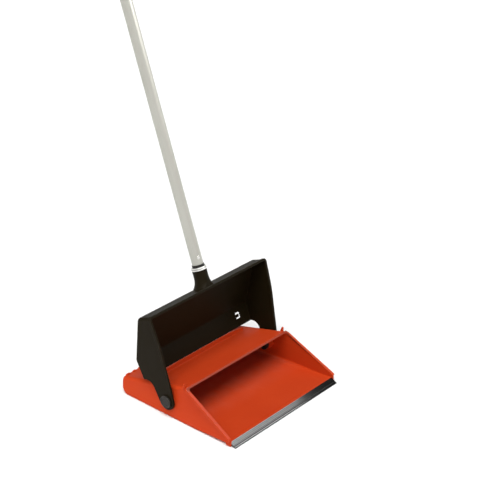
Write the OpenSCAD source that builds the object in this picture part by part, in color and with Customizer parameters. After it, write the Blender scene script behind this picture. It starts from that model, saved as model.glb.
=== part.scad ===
// Lobby dustpan: a roofed scoop with a rubber lip hangs on hinge pins between the arms of a hood.
// The hood carries an upright tube handle and swings forward to close over the scoop's mouth.
// Millimetres. X runs along the mouth, Y to the back and Z up. The floor is Z = 0, and the hinge
// line is parallel to X over Y = 0. The hood is drawn open, resting back on a rib of the roof.

/* [Scoop] */
// Width across the roof, between the planes of the side walls
roof_width = 302; // [280:1:330]
// Outward lean of the side walls below the roof, in degrees
wall_lean = 5.5; // [4:0.25:7]
// Length of the floor ahead of the hinge line
floor_front = 162; // [150:1:176]
// Length of the floor behind the hinge line
floor_rear = 131.5; // [115:0.5:145]
// Thickness of the moulded walls
scoop_wall = 3; // [2.4:0.1:3.6]
// Height of the hinge line above the floor
hinge_height = 36; // [33:0.5:40]
// Height of the roof at its front edge
roof_height = 78.5; // [74:0.5:84]
// Reach of the roof ahead of the hinge line
roof_front = 44; // [38:0.5:50]
// Height of the rear wall where the roof runs into it
rear_height = 36; // [32:0.5:42]
// Rounding between the roof and the side walls
shoulder_radius = 8; // [6:0.5:12]
// Rounding between the floor and the rear wall
heel_radius = 18; // [8:0.5:22]
// Rounding between the floor and the side walls, inside
floor_fillet = 8; // [5:0.5:12]
// Rounding between the underside and the side walls, outside
sole_edge = 4; // [2:0.5:5]
// Lift of the floor's underside at its front edge
front_lift = 6; // [5:0.5:7.5]
// Height of the side walls at their front ends
nose_height = 16; // [14:0.5:20]
// Reach of the side walls ahead of the floor
nose_lead = 4; // [3:0.5:6]
// Rounding on the front ends of the side walls
nose_radius = 8; // [4:0.5:9]
// Width of the brim along the front edges of the side walls
brim_width = 5.5; // [4:0.5:7]
// Reach of the brim beyond the side walls
brim_reach = 3.5; // [2:0.25:4]
// Height of the nib behind each upper corner of the mouth, above the roof's front edge
nib_height = 6.5; // [4:0.5:7]
// Height of the rib on the roof that the open hood rests on
rest_height = 9; // [6:0.5:11]
// Width of the rib's level stretch, beyond which it falls to its ends
rest_width = 150; // [120:1:200]
// Height of the comb rim above the rear end of the roof
comb_height = 2.5; // [2:0.25:4]
// Spacing of the notches in the comb rim
comb_pitch = 16; // [12:0.5:24]
// Radius of the notches in the comb rim
comb_notch = 7; // [4:0.5:8]

/* [Lip] */
// Reach of the rubber lip ahead of the floor
lip_reach = 14; // [11:0.5:17]
// Thickness of the lip where it leaves the floor's edge
lip_thickness = 5; // [4:0.25:6]
// Number of fine ridges along the lip
lip_ridges = 5; // [2:1:6]

/* [Hood] */
// Thickness of the moulded walls
hood_wall = 3; // [2.4:0.1:3.6]
// Lean of the handle from upright, in degrees
hood_lean = 19; // [17:0.5:23]
// Depth of the hood's flat top, front to back
top_depth = 35; // [34:0.5:42]
// Distance of the handle's axis ahead of the hinge line, square to the handle
handle_lead = 14.5; // [10:0.5:18]
// Clearance between the hood's top and the noses of the side walls when closed
swing_clearance = 8; // [6:0.5:10]
// Height of the crease in the back wall, as a share of the hood's reach
crease_share = 0.49; // [0.46:0.01:0.6]
// Radius of the round arm ends
arm_radius = 18.5; // [16.5:0.5:20]
// Thickness of the arms at the hinge, and of the rim round the hood's front edge
arm_wall = 5; // [4:0.25:6]
// Taper of the arms' rear edges, in degrees
arm_taper = 11; // [6:0.5:14]
// Rounding where each cheek runs down into its arm
elbow_radius = 20; // [12:1:20]
// Outward splay of the cheeks, in degrees
cheek_splay = 4.25; // [3:0.25:6]
// Bulge of the cheeks' front edges
front_bulge = 4.5; // [2:0.5:6]
// Width of the raised rim along the hood's front edge
rim_width = 6; // [4:0.5:8]

/* [Hinge] */
// Radius of the hinge pins
pin_radius = 7; // [5:0.25:8]
// Radius of the pins' round heads
head_radius = 13; // [11:0.5:15]
// Height of the pins' heads
head_height = 4; // [3:0.25:6]
// Length of the bearing bosses inside the side walls
boss_length = 12; // [8:0.5:16]
// Length of the caps that hold the pins from inside
retainer_length = 7; // [5:0.5:9]

/* [Handle] */
// Diameter of the tube
tube_diameter = 23; // [21:0.5:25]
// Wall of the tube
tube_wall = 1.2; // [0.9:0.1:1.6]
// Length of the tube
tube_length = 720; // [560:10:900]
// Height of the socket above the hood's top, up to the ferrule
socket_height = 38; // [32:1:46]
// Width of the socket's foot along the hood
socket_foot = 48; // [42:1:60]
// Height of the bright ferrule
ferrule_height = 6.5; // [5:0.5:10]
// Height of the insert's collar between ferrule and tube
collar_height = 5; // [3:0.5:8]
// Length of the end cap above the tube
cap_length = 36; // [32:1:48]
// Radius of the hanging hole in the end cap
hang_radius = 4.5; // [3.5:0.25:5.5]

/* [Hidden] */
$fn = 64;

// Clearances and the overrun of cuts
run_clearance = 0.06;
fit_clearance = 0.05;
move_gap = 0.3;
overrun = 2;
arc_steps = 6;

// Scoop
nose_front = floor_front + nose_lead;
roof_slope = atan((roof_height - rear_height) / (roof_front + floor_rear));
wall_flare = atan(tan(wall_lean) * sin(roof_slope));
beyond = roof_width + floor_front + floor_rear;
lift_start = 30;
hem_depth = 9;
hem_back = floor_front - hem_depth;
hem_clear = 0.8;
sole_radius = 3;
wall_across = scoop_wall / cos(wall_lean);
nib_width = 3;
nib_length = 7;
nib_sink = 0.5;
nib_crest = 3;
nib_setback = 4.5;
rib_width = 4;
rib_fall = 3.5;
rib_inset = 20;
comb_depth = 5;
boss_radius = 12;
pad_radius = 15;
fillet_slack = 0.3;

// Lip
bead_radius = 2.2;
bead_depth = 5;
bead_height = 5;
tongue = 2;
tip_thickness = 1.2;
ridge_height = 0.2;
lip_half = wall_outside(-floor_front, 0) - wall_across - move_gap;
lip_top = front_lift + scoop_wall;

// Hood, in its own frame: origin on the hinge line, Z along the handle, Y to the back
top_radius = 5;
top_corner = 6;
crease_radius = 14;
crease_back = 3;
foot_radius = 2;
stop_gap = 0.5;
cover_clearance = 2.5;
arm_gap = 0.8;
hood_reach = norm([nose_front, hinge_height - nose_height]) + swing_clearance + hood_wall;
top_front = -handle_lead - top_depth / 2;
top_rear = -handle_lead + top_depth / 2;
crease_height = crease_share * hood_reach;
foot_back = roof_height - hinge_height + cover_clearance + hood_wall;
mouth_up = (roof_height - hinge_height) * cos(hood_lean) - roof_front * sin(hood_lean);
mouth_back = -(roof_height - hinge_height) * sin(hood_lean) - roof_front * cos(hood_lean);
roof_up = mouth_up + (foot_back - mouth_back) * tan(hood_lean - roof_slope);
skirt_low = roof_up + rest_height + stop_gap;
elbow_back = (arm_radius + skirt_low * sin(arm_taper)) / cos(arm_taper);
arm_inner = wall_outside(-arm_radius, hinge_height - arm_radius) + arm_gap;
arm_outer = arm_inner + arm_wall;
arm_flat = arm_radius;
rim_rise = arm_wall - hood_wall;
bulge_share = 0.64;
bulge_radius = 250;
bulge_up = bulge_share * hood_reach;
bulge_front = bulge_share * top_front - (1 - bulge_share) * arm_radius - front_bulge;
front_lean = atan((-arm_radius - bulge_front) / bulge_up);
slot_inset = 29;
slot_length = 12.5;
slot_height = 13.5;
slot_width = 3.5;
slot_lift = 16;

// Socket and handle, along the handle's axis
socket_radius = 15;
socket_root = 2.2;
foot_land = 1;
flare_height = 25;
ferrule_radius = 16;
neck_radius = 13;
thread_radius = 10;
bore_floor = 3;
tube_radius = tube_diameter / 2;
tube_bore = tube_radius - tube_wall;
shoulder_level = hood_reach + socket_height;
neck_top = shoulder_level + ferrule_height;
tube_low = neck_top + collar_height;
tube_high = tube_low + tube_length;
collar_radius = tube_radius + tube_wall;
insert_plug = 35;
rivet_radius = 2;
rivet_head = 3.2;
rivet_crown = 0.8;
rivet_lift = 14;
rivet_turn = -18;
rivet_root = tube_bore / 2;
cap_plug = 22;
eye_thickness = 12;
eye_start = 9;

// Pins
hinge_wall = wall_outside(0, hinge_height);
boss_face = hinge_wall - wall_across - boss_length;
retainer_radius = 10.5;
retainer_face = boss_face - move_gap;
pin_end = retainer_face - retainer_length;
ring_radius = 9;
ring_width = 1.6;
ring_depth = 0.8;

function unit(v) = v / norm(v);

function arc(centre, radius, from, turn) =
    [for (i = [0:arc_steps])
        let (angle = from + turn * i / arc_steps)
        centre + radius * [cos(angle), sin(angle)]];

// One corner b of an outline, between a and c, rounded off or filled by an arc
function corner(a, b, c, radius) =
    radius == 0 ? [b] :
    let (
        u = unit(a - b),
        w = unit(c - b),
        half = acos(u * w) / 2,
        centre = b + unit(u + w) * radius / sin(half),
        first = b + u * radius / tan(half) - centre,
        last = b + w * radius / tan(half) - centre,
        start = atan2(first.y, first.x),
        turn = (atan2(last.y, last.x) - start + 540) % 360 - 180
    )
    arc(centre, radius, start, turn);

function flat(p) = [p.x, p.y];

// An outline from corners [x, y, radius]
function rounded(corners) =
    let (count = len(corners))
    [for (i = [0:count - 1])
        each corner(flat(corners[(i + count - 1) % count]), flat(corners[i]),
            flat(corners[(i + 1) % count]), corners[i].z)];

function segment_normal(line, i) = let (d = unit(line[i + 1] - line[i])) [d.y, -d.x];

// An open line moved sideways by depth, with mitred corners
function inset(line, depth) =
    let (last = len(line) - 1)
    [for (i = [0:last])
        let (
            before = segment_normal(line, max(i - 1, 0)),
            after = segment_normal(line, min(i, last - 1))
        )
        line[i] + depth * (before + after) / (1 + before * after)];

// Draws an outline of [y, z] and runs it along X
module across(width) rotate([90, 0, 90]) linear_extrude(height = width, center = true) children();

// Draws an outline of [x, z] and runs it along Y
module along(length) rotate([90, 0, 0]) linear_extrude(height = length, center = true) children();

module both_sides() {
    children();
    mirror([1, 0, 0]) children();
}

// A cylinder along X between two places on the right side
module cross_pin(radius, from, to)
    translate([from, 0, 0]) rotate([0, 90, 0]) cylinder(r = radius, h = to - from);

module at_hinge() translate([0, 0, hinge_height]) children();

module in_hood() at_hinge() rotate([-hood_lean, 0, 0]) children();

module on_handle() in_hood() translate([0, -handle_lead, 0]) children();

// Height of the roof's upper face at a place behind the hinge line
function roof_at(y) = roof_height - (y + roof_front) * tan(roof_slope);

// Half width of the scoop's outside at a place on the side wall
function wall_outside(y, z) = roof_width / 2 + tan(wall_lean) * cos(roof_slope) * (roof_at(y) - z);

// Height of the underside at a distance ahead of the hinge line
function underside(front) = front_lift * (front - lift_start) / (floor_front - lift_start);

// Walls and roof: a section with leaning sides and round shoulders that runs down the roof's slope
module shoulders(depth) {
    half = roof_width / 2 + tan(wall_lean) * depth - depth / cos(wall_lean);
    half_low = half + tan(wall_lean) * beyond;
    translate([0, -roof_front, roof_height]) rotate([-roof_slope, 0, 0]) along(2 * beyond)
        polygon(rounded([
            [-half_low, -depth - beyond, 0],
            [half_low, -depth - beyond, 0],
            [half, -depth, shoulder_radius - depth],
            [-half, -depth, shoulder_radius - depth]]));
}

// Rounding between a level floor and the right side wall, which flares towards the mouth
module floor_round(level, half, radius) {
    rotate([0, 0, wall_flare]) along(2 * beyond)
        polygon(rounded([
            [-beyond, level, 0],
            [half, level, radius],
            [half - tan(wall_lean) * beyond, level + beyond, 0],
            [-beyond, level + beyond, 0]]));
}

module floor_rounds(level, half, radius) intersection() {
    floor_round(level, half, radius);
    mirror([1, 0, 0]) floor_round(level, half, radius);
}

// Side view of the scoop, cut above the roof, which the shoulders then close
module scoop_view() {
    edge_rise = (roof_height - nose_height) / (nose_front - roof_front);
    polygon(rounded([
        [-nose_front, nose_height, nose_radius],
        [0, roof_height + roof_front * edge_rise, 0],
        [floor_rear, roof_height + roof_front * edge_rise, 0],
        [floor_rear, 0, heel_radius],
        [-lift_start, 0, 0],
        [-hem_back, underside(hem_back), 0],
        [-hem_back, hem_clear, 0],
        [-nose_front, hem_clear, sole_radius]]));
}

// Walls and roof, with a brim that stands out along the front edges of the walls
module scoop_outside() {
    edge = [[-roof_front, roof_height], [-nose_front, nose_height]];
    edge_low = inset(edge, -brim_width);
    intersection() {
        across(2 * beyond) scoop_view();
        shoulders(0);
        floor_rounds(0, wall_outside(0, 0) + fillet_slack, sole_edge);
    }
    intersection() {
        across(2 * beyond) intersection() {
            scoop_view();
            polygon([edge[0], edge[1], edge_low[1], edge_low[0]]);
        }
        shoulders(-brim_reach);
    }
}

module scoop_inside() {
    intersection() {
        across(2 * beyond)
            polygon(rounded([
                [-nose_front - overrun, underside(nose_front + overrun) + scoop_wall, 0],
                [-lift_start, scoop_wall, 0],
                [floor_rear - scoop_wall, scoop_wall, heel_radius - scoop_wall],
                [floor_rear - scoop_wall, beyond, 0],
                [-nose_front - overrun, beyond, 0]]));
        shoulders(scoop_wall);
        floor_rounds(scoop_wall, wall_outside(0, scoop_wall) - wall_across + fillet_slack, floor_fillet);
    }
    intersection() {
        translate([-beyond, -nose_front - overrun, -overrun])
            cube([2 * beyond, nose_lead + overrun, roof_height]);
        shoulders(scoop_wall);
    }
}

// Tongue and bead that hold the lip in the front hem, and the groove round them
module lip_root(clearance) {
    across(2 * (lip_half + clearance))
        translate([-floor_front, bead_height]) {
            translate([bead_depth, 0]) circle(r = bead_radius + clearance);
            translate([-overrun, -tongue / 2 - clearance])
                square([bead_depth + overrun, tongue + 2 * clearance]);
        }
}

// Tapered post that stands out of the shoulder, in line with the side wall
module nib() {
    front = nib_setback - roof_front;
    rear = front + nib_length;
    root = shoulder_radius - nib_sink;
    translate([roof_width / 2 - nib_width / 2, 0, 0]) across(nib_width)
        polygon([
            [front, roof_at(front) - root],
            [front, roof_height + nib_height],
            [front + nib_crest, roof_height + nib_height],
            [rear, roof_at(rear)],
            [rear, roof_at(rear) - root]]);
}

// Rib across the roof, square to it, under the lower edge of the open hood
module rest_rib() {
    end_half = roof_width / 2 - rib_inset;
    end_height = rest_height - rib_fall;
    in_hood() translate([0, foot_back - hood_wall / 2, roof_up]) rotate([hood_lean - roof_slope, 0, 0])
        along(rib_width)
            polygon([
                [-end_half, -scoop_wall],
                [end_half, -scoop_wall],
                [end_half, end_height],
                [rest_width / 2, rest_height],
                [-rest_width / 2, rest_height],
                [-end_half, end_height]]);
}

module comb_rim() {
    comb_half = roof_width / 2 - shoulder_radius;
    notches = floor(comb_half / comb_pitch);
    difference() {
        translate([-comb_half, floor_rear - comb_depth, rear_height - scoop_wall / 2])
            cube([2 * comb_half, comb_depth, comb_height + scoop_wall / 2]);
        for (i = [-notches:notches])
            translate([i * comb_pitch, floor_rear, rear_height + comb_notch])
                along(2 * (comb_depth + overrun)) circle(r = comb_notch);
    }
}

module scoop() color([0.78, 0.25, 0.11]) difference() {
    union() {
        difference() {
            union() {
                scoop_outside();
                at_hinge() both_sides()
                    cross_pin(pad_radius, hinge_wall - scoop_wall, arm_inner - move_gap);
                rest_rib();
            }
            scoop_inside();
        }
        at_hinge() both_sides() cross_pin(boss_radius, boss_face, hinge_wall - scoop_wall / 2);
        both_sides() nib();
        comb_rim();
    }
    at_hinge() both_sides() cross_pin(pin_radius + run_clearance, boss_face - overrun, arm_inner + overrun);
    lip_root(fit_clearance);
}

// A wedge of rubber with fine ridges along its upper face, held by a tongue and a bead
module lip_blade() color([0.08, 0.08, 0.08]) {
    root = -floor_front - fit_clearance;
    tip = -floor_front - lip_reach;
    fall = lip_top - tip_thickness;
    steps = 2 * lip_ridges;
    ridges = [for (i = [0:steps])
        [root - lip_reach * i / steps, lip_top - fall * i / steps - ridge_height * (1 - i % 2)]];
    across(2 * lip_half)
        polygon(concat(ridges, [
            [tip, 0],
            [tip + lip_thickness, 0],
            [root, lip_top - lip_thickness]]));
    lip_root(0);
}

// Everything between the cheeks: upright at the arms and splayed above them, up to a level top
module cheek_space(depth, arm_depth, top, radius) {
    half = arm_inner + arm_depth;
    half_top = arm_inner + depth + (top - arm_flat) * tan(cheek_splay);
    rise = arm_flat + (arm_depth - depth) / tan(cheek_splay);
    along(beyond)
        polygon(rounded([
            [-half, -hood_reach, 0],
            [half, -hood_reach, 0],
            [half, rise, 0],
            [half_top, top, radius],
            [-half_top, top, radius],
            [-half, rise, 0]]));
}

// Line of the flat top and the creased back, down to the skirt
function back_line() = [[top_front, hood_reach], [top_rear, hood_reach],
    [foot_back + crease_back, crease_height], [foot_back, skirt_low]];

// Side view of a cheek and its arm, whose end is round about the hinge line
module cheek_view() {
    line = back_line();
    radii = [0, top_radius, crease_radius, foot_radius];
    polygon(rounded(concat(
        [for (i = [0:3]) [line[i].x, line[i].y, radii[i]]],
        [[elbow_back, skirt_low, elbow_radius]],
        [for (p = arc([0, 0], arm_radius, -arm_taper, arm_taper - 90)) [p.x, p.y, 0]],
        [for (p = arc([0, 0], arm_radius, -90, -90 - front_lean)) [p.x, p.y, 0]],
        [[bulge_front, bulge_up, bulge_radius]])));
}

// Side view of the rim along the front edge, from the top down to the arm
module rim_view() {
    top_step = (top_front - bulge_front) / (hood_reach - bulge_up);
    edge = [[top_front + rim_rise * top_step, hood_reach + rim_rise], [bulge_front, bulge_up],
        arm_radius * [-cos(front_lean), sin(front_lean)]];
    rear = inset(edge, -rim_width);
    radii = [0, bulge_radius, 0];
    polygon(rounded(concat(
        [for (i = [0:2]) [edge[i].x, edge[i].y, radii[i]]],
        [for (i = [2:-1:0]) [rear[i].x, rear[i].y, i == 1 ? bulge_radius - rim_width : 0]])));
}

// Side view of the space inside the hood, open to the front and below
module inside_view() {
    line = inset(back_line(), hood_wall);
    radii = [0, top_radius - hood_wall, crease_radius - hood_wall, 0];
    polygon(rounded(concat(
        [[-beyond, -beyond, 0], [-beyond, line[0].y, 0]],
        [for (i = [1:3]) [line[i].x, line[i].y, radii[i]]],
        [[line[3].x, -beyond, 0]])));
}

// Slot round three sides of a spring tongue in the back wall
module tongue_slot() {
    slot_side = slot_length - slot_width;
    slot_top = slot_height - slot_width;
    translate([arm_inner - slot_inset - slot_length / 2, foot_back, skirt_low + slot_lift])
        along(4 * hood_wall)
            polygon([[0, 0], [slot_length, 0], [slot_length, slot_height], [0, slot_height],
                [0, slot_top], [slot_side, slot_top], [slot_side, slot_width], [0, slot_width]]);
}

// Round barrel that flares out to its foot, cut to the depth of the hood's top, with a neck
module socket_body() {
    flare = socket_foot / 2 - socket_radius;
    flare_radius = (flare * flare + flare_height * flare_height) / (2 * flare);
    flare_turn = asin(flare_height / flare_radius);
    barrel_top = socket_height + socket_root;
    foot_depth = 2 * (socket_radius + foot_land);
    translate([0, -handle_lead, hood_reach - socket_root]) {
        intersection() {
            rotate_extrude()
                polygon(concat(
                    [[0, 0]],
                    arc([socket_radius + flare_radius, flare_height], flare_radius,
                        180 + flare_turn, -flare_turn),
                    [[socket_radius, barrel_top], [0, barrel_top]]));
            translate([-socket_foot, -foot_depth / 2, -overrun])
                cube([2 * socket_foot, foot_depth, barrel_top + 2 * overrun]);
        }
        cylinder(r = neck_radius, h = barrel_top + ferrule_height);
    }
}

module hood() color([0.11, 0.09, 0.08]) in_hood() difference() {
    union() {
        intersection() {
            across(beyond) cheek_view();
            cheek_space(hood_wall, arm_wall, hood_reach, top_corner);
        }
        intersection() {
            across(beyond) rim_view();
            cheek_space(arm_wall, arm_wall, hood_reach + rim_rise, top_corner + rim_rise);
        }
        socket_body();
    }
    intersection() {
        across(beyond) inside_view();
        cheek_space(0, 0, hood_reach - hood_wall, top_corner - hood_wall);
    }
    both_sides() tongue_slot();
    both_sides() cross_pin(pin_radius + fit_clearance, arm_inner - overrun, arm_outer + overrun);
    translate([0, -handle_lead, hood_reach + bore_floor])
        cylinder(r = thread_radius + fit_clearance, h = neck_top - hood_reach);
}

// Pin with a round head outside the arm, a ring groove in its face and its end in the retainer
module hinge_pin() color([0.13, 0.12, 0.11]) in_hood() {
    head_face = arm_outer + head_height;
    difference() {
        union() {
            cross_pin(pin_radius, pin_end, arm_outer + head_height / 2);
            cross_pin(head_radius, arm_outer, head_face);
        }
        difference() {
            cross_pin(ring_radius + ring_width, head_face - ring_depth, head_face + overrun);
            cross_pin(ring_radius, arm_outer, head_face + 2 * overrun);
        }
    }
}

module hinge_pin_right() hinge_pin();

module hinge_pin_left() mirror([1, 0, 0]) hinge_pin();

// Push-on cap against the boss inside the side wall
module pin_retainer() color([0.05, 0.05, 0.05]) in_hood() difference() {
    cross_pin(retainer_radius, pin_end, retainer_face);
    cross_pin(pin_radius + fit_clearance, pin_end - overrun, retainer_face + overrun);
}

module pin_retainer_right() pin_retainer();

module pin_retainer_left() mirror([1, 0, 0]) pin_retainer();

// Bright ring round the socket's neck
module socket_ferrule() color([0.86, 0.86, 0.85]) on_handle() difference() {
    translate([0, 0, shoulder_level]) cylinder(r = ferrule_radius, h = ferrule_height);
    translate([0, 0, shoulder_level - overrun])
        cylinder(r = neck_radius + fit_clearance, h = ferrule_height + 2 * overrun);
}

// Places a rivet's axis square to the tube
module at_rivet()
    translate([0, 0, tube_low + rivet_lift]) rotate([0, 0, rivet_turn]) rotate([90, 0, 0]) children();

// Plug in the tube's lower end, with a collar and a spigot down into the socket
module handle_insert() color([0.07, 0.07, 0.07]) on_handle() difference() {
    union() {
        translate([0, 0, hood_reach + bore_floor + move_gap])
            cylinder(r = thread_radius, h = tube_low - hood_reach - bore_floor - move_gap);
        translate([0, 0, neck_top]) cylinder(r = collar_radius, h = collar_height);
        translate([0, 0, neck_top])
            cylinder(r = tube_bore - fit_clearance, h = collar_height + insert_plug);
    }
    at_rivet() translate([0, 0, rivet_root]) cylinder(r = rivet_radius + fit_clearance, h = tube_radius);
}

// Small rivet through the tube's wall into the insert
module insert_rivet() color([0.6, 0.6, 0.59]) on_handle() at_rivet() {
    translate([0, 0, rivet_root])
        cylinder(r = rivet_radius, h = tube_radius - rivet_root + rivet_crown / 2);
    translate([0, 0, tube_radius]) cylinder(r = rivet_head, h = rivet_crown);
}

module handle_tube() color([0.8, 0.79, 0.76]) on_handle() difference() {
    translate([0, 0, tube_low]) cylinder(r = tube_radius, h = tube_length);
    translate([0, 0, tube_low - overrun]) cylinder(r = tube_bore, h = tube_length + 2 * overrun);
    at_rivet() translate([0, 0, rivet_root]) cylinder(r = rivet_radius + fit_clearance, h = tube_radius);
}

// Plugged end cap, flattened to an eye with a hanging hole
module handle_cap() color([0.09, 0.09, 0.09]) on_handle() translate([0, 0, tube_high]) difference() {
    union() {
        translate([0, 0, -cap_plug]) cylinder(r = tube_bore - fit_clearance, h = cap_plug + eye_start);
        intersection() {
            cylinder(r = tube_radius, h = cap_length);
            across(tube_diameter) {
                translate([0, cap_length - tube_radius]) circle(r = tube_radius);
                translate([-tube_radius, 0]) square([tube_diameter, cap_length - tube_radius]);
            }
        }
    }
    both_sides() translate([eye_thickness / 2, -tube_diameter, eye_start]) cube(2 * cap_length);
    translate([0, 0, cap_length - tube_radius]) rotate([0, 90, 0])
        cylinder(r = hang_radius, h = 2 * tube_diameter, center = true);
}

scoop();
lip_blade();
hood();
hinge_pin_left();
hinge_pin_right();
pin_retainer_left();
pin_retainer_right();
socket_ferrule();
handle_insert();
insert_rivet();
handle_tube();
handle_cap();
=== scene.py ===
"""Lobby dustpan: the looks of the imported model, in metres, in the same frame."""

import math

import bmesh
import bpy
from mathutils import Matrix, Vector


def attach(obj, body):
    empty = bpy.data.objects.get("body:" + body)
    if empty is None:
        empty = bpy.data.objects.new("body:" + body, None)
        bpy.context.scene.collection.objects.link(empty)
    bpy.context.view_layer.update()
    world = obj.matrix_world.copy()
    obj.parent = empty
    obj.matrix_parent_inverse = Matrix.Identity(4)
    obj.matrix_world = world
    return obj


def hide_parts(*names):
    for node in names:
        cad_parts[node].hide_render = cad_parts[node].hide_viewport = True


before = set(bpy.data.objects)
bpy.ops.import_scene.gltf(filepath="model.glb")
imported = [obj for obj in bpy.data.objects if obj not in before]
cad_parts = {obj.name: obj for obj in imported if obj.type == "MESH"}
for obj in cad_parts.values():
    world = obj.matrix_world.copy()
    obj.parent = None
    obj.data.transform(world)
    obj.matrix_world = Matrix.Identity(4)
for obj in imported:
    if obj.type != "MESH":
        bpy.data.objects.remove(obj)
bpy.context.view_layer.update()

# Camera: a long lens to the left of the mouth, looking down on the pan where it stands open.
# It is set from the pan's own edges, so that the pan fills the frame as a catalogue view does.
view_azimuth = math.radians(-49.39)
view_elevation = math.radians(25.76)
view_back = Vector((
    math.sin(view_azimuth) * math.cos(view_elevation),
    -math.cos(view_azimuth) * math.cos(view_elevation),
    math.sin(view_elevation),
))
camera_data = bpy.data.cameras.new("camera")
camera_data.sensor_width = 36
camera_data.lens = 100.4
camera_data.clip_end = 50
camera = bpy.data.objects.new("camera", camera_data)
camera.location = (-1.8232, -1.6401, 1.4890)
camera.rotation_mode = "QUATERNION"
camera.rotation_quaternion = (-view_back).to_track_quat("-Z", "Y")
bpy.context.scene.collection.objects.link(camera)
bpy.context.scene.camera = camera
bpy.context.scene.view_settings.view_transform = "Standard"

# Floor and lights: a plain white sheet on the ground, inside a white tent that is open at the
# upper right. One broad soft lamp hangs almost overhead, a little to the front left, and a soft
# box above the right of the mouth shows only in the gloss of the pieces.


class Value:
    """A socket in a node tree. Arithmetic adds Math nodes, and make() adds any other node."""

    def __init__(self, tree, socket=None):
        self.tree = tree
        self.socket = socket

    def make(self, kind, settings=None, sockets=None, out=0):
        node = self.tree.nodes.new("ShaderNode" + kind)
        for name, value in (settings or {}).items():
            setattr(node, name, value)
        for name, value in (sockets or {}).items():
            if isinstance(value, Value):
                self.tree.links.new(value.socket, node.inputs[name])
            else:
                node.inputs[name].default_value = value
        return Value(self.tree, node.outputs[out] if node.outputs else None)

    def math(self, operation, first, second):
        return self.make("Math", {"operation": operation}, {0: first, 1: second})

    def __add__(self, other):
        return self.math("ADD", self, other)

    __radd__ = __add__

    def __sub__(self, other):
        return self.math("SUBTRACT", self, other)

    def __rsub__(self, other):
        return self.math("SUBTRACT", other, self)

    def __mul__(self, other):
        return self.math("MULTIPLY", self, other)

    __rmul__ = __mul__

    def mix(self, low, high):
        """A colour between two, by this value."""
        sockets = {"Factor": self, 6: low, 7: high}
        return self.make("Mix", {"data_type": "RGBA"}, sockets, out=2)

    def between(self, low, high):
        """This value stretched from low and high to 0 and 1, and cut off there."""
        return self.make("MapRange", None, {"Value": self, "From Min": low, "From Max": high})

    def band(self, low, high, fade):
        """1 where this value lies between low and high, fading to 0 just inside them."""
        return self.between(low, low + fade) * self.between(high, high - fade)

    def place(self, axis):
        """How far along X, Y or Z a point of the piece lies."""
        place = self.make("TexCoord", out="Object")
        return self.make("SeparateXYZ", None, {"Vector": place}, out=axis)

    def noise(self, scale, detail=2.0, stretch=(1, 1, 1), lean=0.0):
        """Clouds in cells per metre, longer by stretch along each axis, leaning back about X."""
        place = self.make("TexCoord", out="Object")
        place = self.make("Mapping", {"vector_type": "TEXTURE"}, {
            "Vector": place, "Rotation": (-lean, 0, 0), "Scale": stretch})
        return self.make("TexNoise", None, {"Vector": place, "Scale": scale, "Detail": detail})

    def marked(self, name):
        """1 on the faces that carry this mark, 0 elsewhere."""
        return self.make("Attribute", {"attribute_name": name}, out="Fac")


def new_material(name):
    material = bpy.data.materials.new(name)
    material.use_nodes = True
    material.node_tree.nodes.clear()
    return material, Value(material.node_tree)


def surface(tree, height, depth, sockets):
    """Ends a material: a Principled shader whose normal follows height, in metres of depth."""
    bump = tree.make("Bump", None, {"Height": height, "Distance": depth})
    shader = tree.make("BsdfPrincipled", None, {"Normal": bump, **sockets})
    tree.make("OutputMaterial", None, {"Surface": shader})


def lamp(name, kind, place, turn, power):
    """A lamp that shines straight down, then turned by degrees about X, Y and Z."""
    data = bpy.data.lights.new(name, kind)
    data.energy = power
    light = bpy.data.objects.new(name, data)
    light.location = place
    light.rotation_euler = [math.radians(degrees) for degrees in turn]
    bpy.context.scene.collection.objects.link(light)
    return light


bpy.ops.object.select_all(action="DESELECT")
bpy.ops.mesh.primitive_plane_add(size=40)
floor = bpy.context.active_object
floor.name = "floor"
floor_paint, tree = new_material("white_sheet")
sheet_texture_depth = 0.0002
surface(tree, tree.noise(60), sheet_texture_depth, {
    "Base Color": (0.9, 0.9, 0.9, 1),
    "Roughness": 0.8,
    "Specular IOR Level": 0.0,
})
floor.data.materials.append(floor_paint)

tent_right = (0.42, 0.42, 0.42, 1)
tent_left = (0.58, 0.58, 0.57, 1)
tent_front = (0.95, 0.95, 0.94, 1)
top_right = (0.04, 0.04, 0.04, 1)
top_left = (0.75, 0.75, 0.74, 1)
horizon = (1, 1, 1, 1)
world = bpy.data.worlds.new("tent")
world.use_nodes = True
world.node_tree.nodes.clear()
tree = Value(world.node_tree)
look = tree.make("TexCoord", out="Generated")
sideways, backward, upward = (
    tree.make("SeparateXYZ", None, {"Vector": look}, out=axis) for axis in "XYZ")
left = sideways.between(0.35, -0.6)
front = backward.between(-0.2, -0.8)
overhead = upward.between(0.15, 0.45)
near_ground = upward.between(0.14, 0.06)
tent = front.mix(left.mix(tent_right, tent_left), tent_front)
tent = overhead.mix(tent, left.mix(top_right, top_left))
tent = near_ground.mix(tent, horizon)
tree.make("OutputWorld", None, {"Surface": tree.make("Background", None, {"Color": tent})})
bpy.context.scene.world = world

broad_lamp = lamp("broad_lamp", "SUN", (-0.3, -0.22, 0.93), turn=(12.7, -18, 0), power=3.0)
broad_lamp.data.angle = math.radians(42)
soft_box = lamp("soft_box", "AREA", (0.645, -0.27, 1.1), turn=(0, 0, 12), power=23)
soft_box.data.shape = "RECTANGLE"
soft_box.data.size = 0.8
soft_box.data.size_y = 0.85
soft_box.visible_diffuse = False

# Scoop: one moulding in red-orange polypropylene with a satin face, standing on its flat floor.
# Sweeping scores it finely along the strokes and leaves dust at the back of its floor, which is
# also lightened as painted fill light in the shade under the roof. Handling rubs its edges a
# little pale, and the left edges are paled more and glossed as a painted highlight. The roof's
# front edge is darkened as painted shade, and the swept floor is darkened faintly too.


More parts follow.
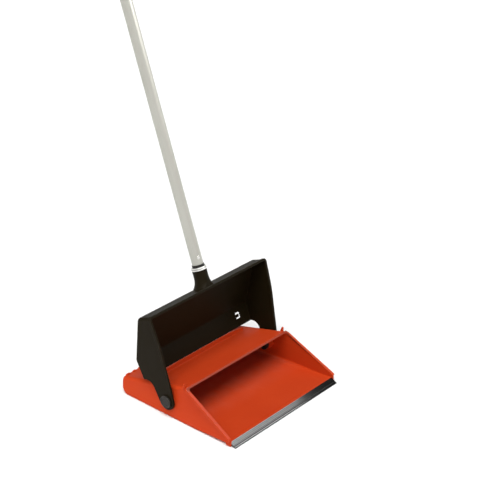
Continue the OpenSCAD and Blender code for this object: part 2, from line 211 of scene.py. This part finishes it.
def merged_copy(node):
    """A copy of a CAD node with its triangles merged to whole faces, selected and active."""
    merge_gap = 2e-6
    flat_angle = math.radians(0.4)
    piece = bpy.data.objects.new(node + "_finish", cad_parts[node].data.copy())
    bpy.context.scene.collection.objects.link(piece)
    bpy.ops.object.select_all(action="DESELECT")
    piece.select_set(True)
    bpy.context.view_layer.objects.active = piece
    bpy.ops.mesh.customdata_custom_splitnormals_clear()
    bpy.ops.object.mode_set(mode="EDIT")
    bpy.ops.mesh.select_all(action="SELECT")
    bpy.ops.mesh.remove_doubles(threshold=merge_gap)
    bpy.ops.mesh.dissolve_limited(angle_limit=flat_angle)
    bpy.ops.object.mode_set(mode="OBJECT")
    return piece


def round_edges(piece, edge, segments, fine):
    """Rounds the sharp edges and marks the outward ones as rubbed.

    An edge with an end that fine() picks out is rounded to a share of the size.
    """
    sharp_angle = math.radians(32)
    fine_share = 0.25
    mesh = bmesh.new()
    mesh.from_mesh(piece.data)
    weight = mesh.edges.layers.float.new("bevel_weight_edge")
    for line in mesh.edges:
        if line.calc_face_angle(0) > sharp_angle:
            small = fine is not None and any(fine(end.co) for end in line.verts)
            line[weight] = fine_share if small else 1.0
    mesh.to_mesh(piece.data)
    mesh.free()

    rounded_slot = len(piece.data.materials)
    piece.data.materials.append(piece.data.materials[0])
    bevel = piece.modifiers.new("edge", "BEVEL")
    bevel.width = edge
    bevel.segments = segments
    bevel.limit_method = "WEIGHT"
    bevel.use_clamp_overlap = False
    bevel.miter_outer = "MITER_ARC"
    bevel.material = rounded_slot
    bpy.ops.object.modifier_apply(modifier=bevel.name)

    mesh = bmesh.new()
    mesh.from_mesh(piece.data)
    rubbed = mesh.faces.layers.float.new("rubbed")
    for face in mesh.faces:
        if face.material_index == rounded_slot:
            turn = sum(side.calc_face_angle_signed(0) for side in face.edges)
            face[rubbed] = float(turn > 0)
            face.material_index = 0
    mesh.to_mesh(piece.data)
    mesh.free()
    piece.data.materials.pop(index=rounded_slot)


def smooth(piece, crease=32):
    """Shades flat faces flat and rounded edges round. Angles over crease degrees stay sharp."""
    bpy.ops.mesh.customdata_custom_splitnormals_clear()
    bpy.ops.object.shade_smooth_by_angle(angle=math.radians(crease))
    normals = piece.modifiers.new("normals", "WEIGHTED_NORMAL")
    normals.keep_sharp = True
    bpy.ops.object.modifier_apply(modifier=normals.name)


def dress(node, body, material, edge, segments=3, crease=32, fine=None):
    """Shows a finished copy of a CAD node in its place: merged, rounded, marked and painted."""
    piece = merged_copy(node)
    piece.data.materials.clear()
    piece.data.materials.append(material)
    round_edges(piece, edge, segments, fine)
    smooth(piece, crease)
    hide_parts(node)
    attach(piece, body)
    return piece


deep_orange = (0.47, 0.039, 0.0075, 1)
clear_orange = (0.52, 0.048, 0.0095, 1)
scored_orange = (0.58, 0.09, 0.035, 1)
rubbed_and_highlight_orange = (0.66, 0.15, 0.08, 1)
shade_orange = (0.16, 0.02, 0.006, 1)
dusty_fill_orange = (0.45, 0.19, 0.15, 1)
scoop_grain_depth = 0.00006
highlight_start, highlight_full = -0.1, -0.14
dust_fill_start, dust_fill_full = -0.09, 0.04
shade_edge_start, shade_edge_full = -0.056, -0.048
scoop_paint, tree = new_material("orange_polypropylene")
cloud = tree.noise(7, 3)
scores = tree.noise(700, 3, stretch=(1, 70, 1)).between(0.62, 0.74)
grain = tree.noise(1400)
wear = tree.marked("rubbed") * tree.noise(90, 4).between(0.42, 0.68)
# Painted highlight: the rubbed edges on the left side are paled further and glossed.
polish_and_highlight = wear * tree.place("X").between(highlight_start, highlight_full)
swept_floor = tree.marked("swept")
# Dust and painted fill light: the back of the swept floor, in shade under the roof, lightens.
deep_in_chamber = tree.place("Y").between(dust_fill_start, dust_fill_full)
dust_and_fill = swept_floor * deep_in_chamber * tree.noise(45, 5).between(0.2, 0.75)
# Painted shade: the front-facing faces of the roof's front edge darken toward a deep orange.
painted_shade = tree.marked("painted_shade_edge") * tree.place("Y").between(shade_edge_start, shade_edge_full)
orange = cloud.between(0.3, 0.7).mix(deep_orange, clear_orange)
orange = (0.35 * scores).mix(orange, scored_orange)
orange = (0.06 * swept_floor + 0.65 * painted_shade).mix(orange, shade_orange)
orange = (0.3 * dust_and_fill).mix(orange, dusty_fill_orange)
surface(tree, grain - 0.6 * scores, scoop_grain_depth, {
    "Base Color": (0.06 * wear + 0.3 * polish_and_highlight).mix(orange, rubbed_and_highlight_orange),
    "Roughness": 0.36 + 0.08 * cloud + 0.1 * scores + 0.2 * dust_and_fill,
    "Specular IOR Level": 0.06,
    "Coat Weight": 0.7 * polish_and_highlight,
    "Coat Roughness": 0.14,
})

comb_front, comb_foot = 0.125, 0.033
nib_front, nib_rear = -0.041, -0.031
nib_inner, nib_foot = 0.144, 0.067
roof_edge_foot = 0.0755
hem_rear = -0.16


def small_on_scoop(place):
    """The comb on the rear wall, the nibs, the roof's front edge and the floor's front hem."""
    on_comb = place.y > comb_front and place.z > comb_foot
    at_nib = abs(place.x) > nib_inner and nib_front < place.y < nib_rear and place.z > nib_foot
    on_roof_edge = place.z > roof_edge_foot
    on_hem = place.y < hem_rear
    return on_comb or at_nib or on_roof_edge or on_hem


scoop = dress("scoop", "scoop", scoop_paint, edge=0.0012, fine=small_on_scoop)
chamber_middle = Vector((0, 0.06, 0.03))
mouth_half, mouth_rear, mouth_middle = 0.15, -0.04, 0.05
swept = scoop.data.attributes.new("swept", "FLOAT", "FACE")
# Marks the roof's front edge over the mouth, which the material darkens as painted shade.
painted_shade_edge = scoop.data.attributes.new("painted_shade_edge", "FLOAT", "FACE")
for face in scoop.data.polygons:
    inside = (chamber_middle - face.center).dot(face.normal) > 0
    faces_up = face.normal.z > 0.5
    faces_front = face.normal.y < -0.3
    high_in_front = face.center.y < mouth_rear and face.center.z > mouth_middle
    over_mouth = high_in_front and abs(face.center.x) < mouth_half
    swept.data[face.index].value = float(inside and faces_up)
    painted_shade_edge.data[face.index].value = float(over_mouth and faces_front)

# Lip: an extruded strip of black rubber, pressed by its bead into the floor's front hem.
# Its ridges run the whole width and shine, and its edges wear grey. In the ridges near the front
# one line is black and metallic, so its gloss goes dark: a painted shade line.
deep_black = (0.003, 0.003, 0.0026, 1)
dull_black = (0.007, 0.0068, 0.006, 1)
worn_rubber = (0.09, 0.088, 0.085, 1)
rubber_grain_depth = 0.000004
shade_line_front, shade_line_rear, shade_line_fade = -0.1734, -0.1708, 0.0007
lip_paint, tree = new_material("black_rubber")
worn = tree.noise(40, 4, stretch=(5, 1, 1))
grain = tree.noise(1800)
# Painted shade: a line near the front whose gloss is darkened by making it metallic.
painted_shade = tree.place("Y").band(shade_line_front, shade_line_rear, shade_line_fade)
black = worn.mix(deep_black, dull_black)
surface(tree, grain, rubber_grain_depth, {
    "Base Color": (0.6 * tree.marked("rubbed") * worn).mix(black, worn_rubber),
    "Metallic": 0.8 * painted_shade,
    "Roughness": 0.07 + 0.06 * worn + 0.2 * painted_shade,
})
dress("lip_blade", "scoop", lip_paint, edge=0.0002, segments=2, crease=4)

# Hood: one moulding in warm black polypropylene, with its cheeks, arms, spring tongues and socket.
# The mould's fine texture gives it a broad dull sheen, and its edges are rubbed grey.
warm_black = (0.0096, 0.0067, 0.0023, 1)
pale_black = (0.0126, 0.009, 0.0038, 1)
scuffed_black = (0.024, 0.02, 0.015, 1)
rubbed_black = (0.04, 0.034, 0.026, 1)
hood_grain_depth = 0.00008
hood_paint, tree = new_material("black_polypropylene")
cloud = tree.noise(9, 3)
grain = tree.noise(1500)
scuffs = tree.noise(260, 4, stretch=(1, 1, 14)).between(0.62, 0.75)
wear = tree.marked("rubbed") * tree.noise(80, 4).between(0.3, 0.65)
black = cloud.mix(warm_black, pale_black)
black = (0.3 * scuffs).mix(black, scuffed_black)
surface(tree, grain - 0.4 * scuffs, hood_grain_depth, {
    "Base Color": (0.5 * wear).mix(black, rubbed_black),
    "Roughness": 0.38 + 0.12 * cloud + 0.1 * scuffs,
    "Specular IOR Level": 0.05,
})
dress("hood", "hood", hood_paint, edge=0.0008)

# Hinge pins and their caps: turned and moulded in hard black plastic.
# The headed pins go through the arms and the scoop's walls, and the caps push on inside.
hard_black = (0.009, 0.008, 0.007, 1)
clouded_black = (0.016, 0.014, 0.012, 1)
rubbed_grey = (0.06, 0.054, 0.045, 1)
pin_grain_depth = 0.00004
pin_edge = 0.0006
pin_paint, tree = new_material("black_acetal")
cloud = tree.noise(60, 2)
grain = tree.noise(1600)
black = cloud.mix(hard_black, clouded_black)
surface(tree, grain, pin_grain_depth, {
    "Base Color": (0.8 * tree.marked("rubbed")).mix(black, rubbed_grey),
    "Roughness": 0.34 + 0.12 * cloud,
    "Specular IOR Level": 0.25,
})
for side in ("left", "right"):
    dress("hinge_pin_" + side, "hood", pin_paint, pin_edge)
    dress("pin_retainer_" + side, "hood", pin_paint, pin_edge)

# Ferrule: a bright drawn ring, pressed round the socket's neck.
# It is turned to a shine, so fine lines run round it, with one groove cut at mid height,
# whose band is painted dark as shade.
ring_dull = (0.74, 0.73, 0.70, 1)
ring_bright = (0.84, 0.83, 0.80, 1)
groove_shade = (0.2, 0.2, 0.19, 1)
turned_depth = 0.00002
groove_half = 0.0005
groove_slope = 0.0005
groove_depth = 0.0005
groove_outer = groove_half + groove_slope
handle_lean = math.radians(19)
handle_axis = Vector((0, math.sin(handle_lean), math.cos(handle_lean)))
ring_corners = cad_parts["socket_ferrule"].data.vertices
heights = [corner.co.dot(handle_axis) for corner in ring_corners]
ring_middle = (min(heights) + max(heights)) / 2
ferrule_paint, tree = new_material("bright_ring")
turned = tree.noise(1200, 3, stretch=(40, 40, 1), lean=handle_lean)
place = tree.make("TexCoord", out="Object")
along = tree.make(
    "VectorMath", {"operation": "DOT_PRODUCT"}, {0: place, 1: handle_axis}, out="Value")
# Painted shade: the groove's band is darkened toward grey.
shaded_groove = along.band(ring_middle - groove_outer, ring_middle + groove_outer, groove_slope)
surface(tree, turned, turned_depth, {
    "Base Color": (0.8 * shaded_groove).mix(turned.mix(ring_dull, ring_bright), groove_shade),
    "Metallic": 1.0,
    "Roughness": 0.24 + 0.12 * turned,
})
ferrule = dress("socket_ferrule", "hood", ferrule_paint, edge=0.0006)
bpy.ops.object.mode_set(mode="EDIT")
for level in (-groove_outer, -groove_half, groove_half, groove_outer):
    bpy.ops.mesh.select_all(action="SELECT")
    bpy.ops.mesh.bisect(plane_co=handle_axis * (ring_middle + level), plane_no=handle_axis)
bpy.ops.object.mode_set(mode="OBJECT")
corners = ferrule.data.vertices
ring_centre = sum((corner.co for corner in corners), Vector()) / len(corners)
spokes = [corner.co - ring_centre for corner in corners]
spokes = [spoke - handle_axis * spoke.dot(handle_axis) for spoke in spokes]
ring_radius = max(spoke.length for spoke in spokes)
outer_margin = 0.0004
level_margin = 0.00001
for corner, spoke in zip(corners, spokes):
    level = corner.co.dot(handle_axis) - ring_middle
    on_outside = spoke.length > ring_radius - outer_margin
    if on_outside and abs(level) < groove_half + level_margin:
        corner.co -= spoke.normalized() * groove_depth
smooth(ferrule)

# Handle: a tube of drawn aluminium, held on its insert by a small bright rivet.
# Drawing leaves fine lines along it, and hands leave faint dull patches.
tube_shade = (0.43, 0.427, 0.382, 1)
tube_bright = (0.535, 0.53, 0.484, 1)
tube_dulled = (0.40, 0.39, 0.345, 1)
drawn_depth = 0.00002
tube_edge = 0.0003
tube_paint, tree = new_material("drawn_aluminium")
drawn = tree.noise(1400, 3, stretch=(1, 1, 120), lean=handle_lean)
dulled = tree.noise(22, 3, stretch=(1, 1, 3), lean=handle_lean)
bright = drawn.mix(tube_shade, tube_bright)
surface(tree, drawn, drawn_depth, {
    "Base Color": (0.35 * dulled.between(0.4, 0.7)).mix(bright, tube_dulled),
    "Metallic": 0.6,
    "Roughness": 0.34 + 0.08 * drawn + 0.1 * dulled,
    "Specular IOR Level": 0.3,
})
dress("handle_tube", "hood", tube_paint, tube_edge)

rivet_dull = (0.78, 0.77, 0.74, 1)
rivet_bright = (0.9, 0.89, 0.86, 1)
rivet_paint, tree = new_material("bright_rivet")
spun = tree.noise(900, 2)
surface(tree, spun, turned_depth, {
    "Base Color": spun.mix(rivet_dull, rivet_bright),
    "Metallic": 1.0,
    "Roughness": 0.16 + 0.12 * spun,
})
dress("insert_rivet", "hood", rivet_paint, tube_edge)

# Insert and end cap: black mouldings that plug the tube at its foot and its top.
# The cap has the hanging hole, and both are the hard plastic of the pins.
dress("handle_insert", "hood", pin_paint, pin_edge)
dress("handle_cap", "hood", pin_paint, edge=0.0008)
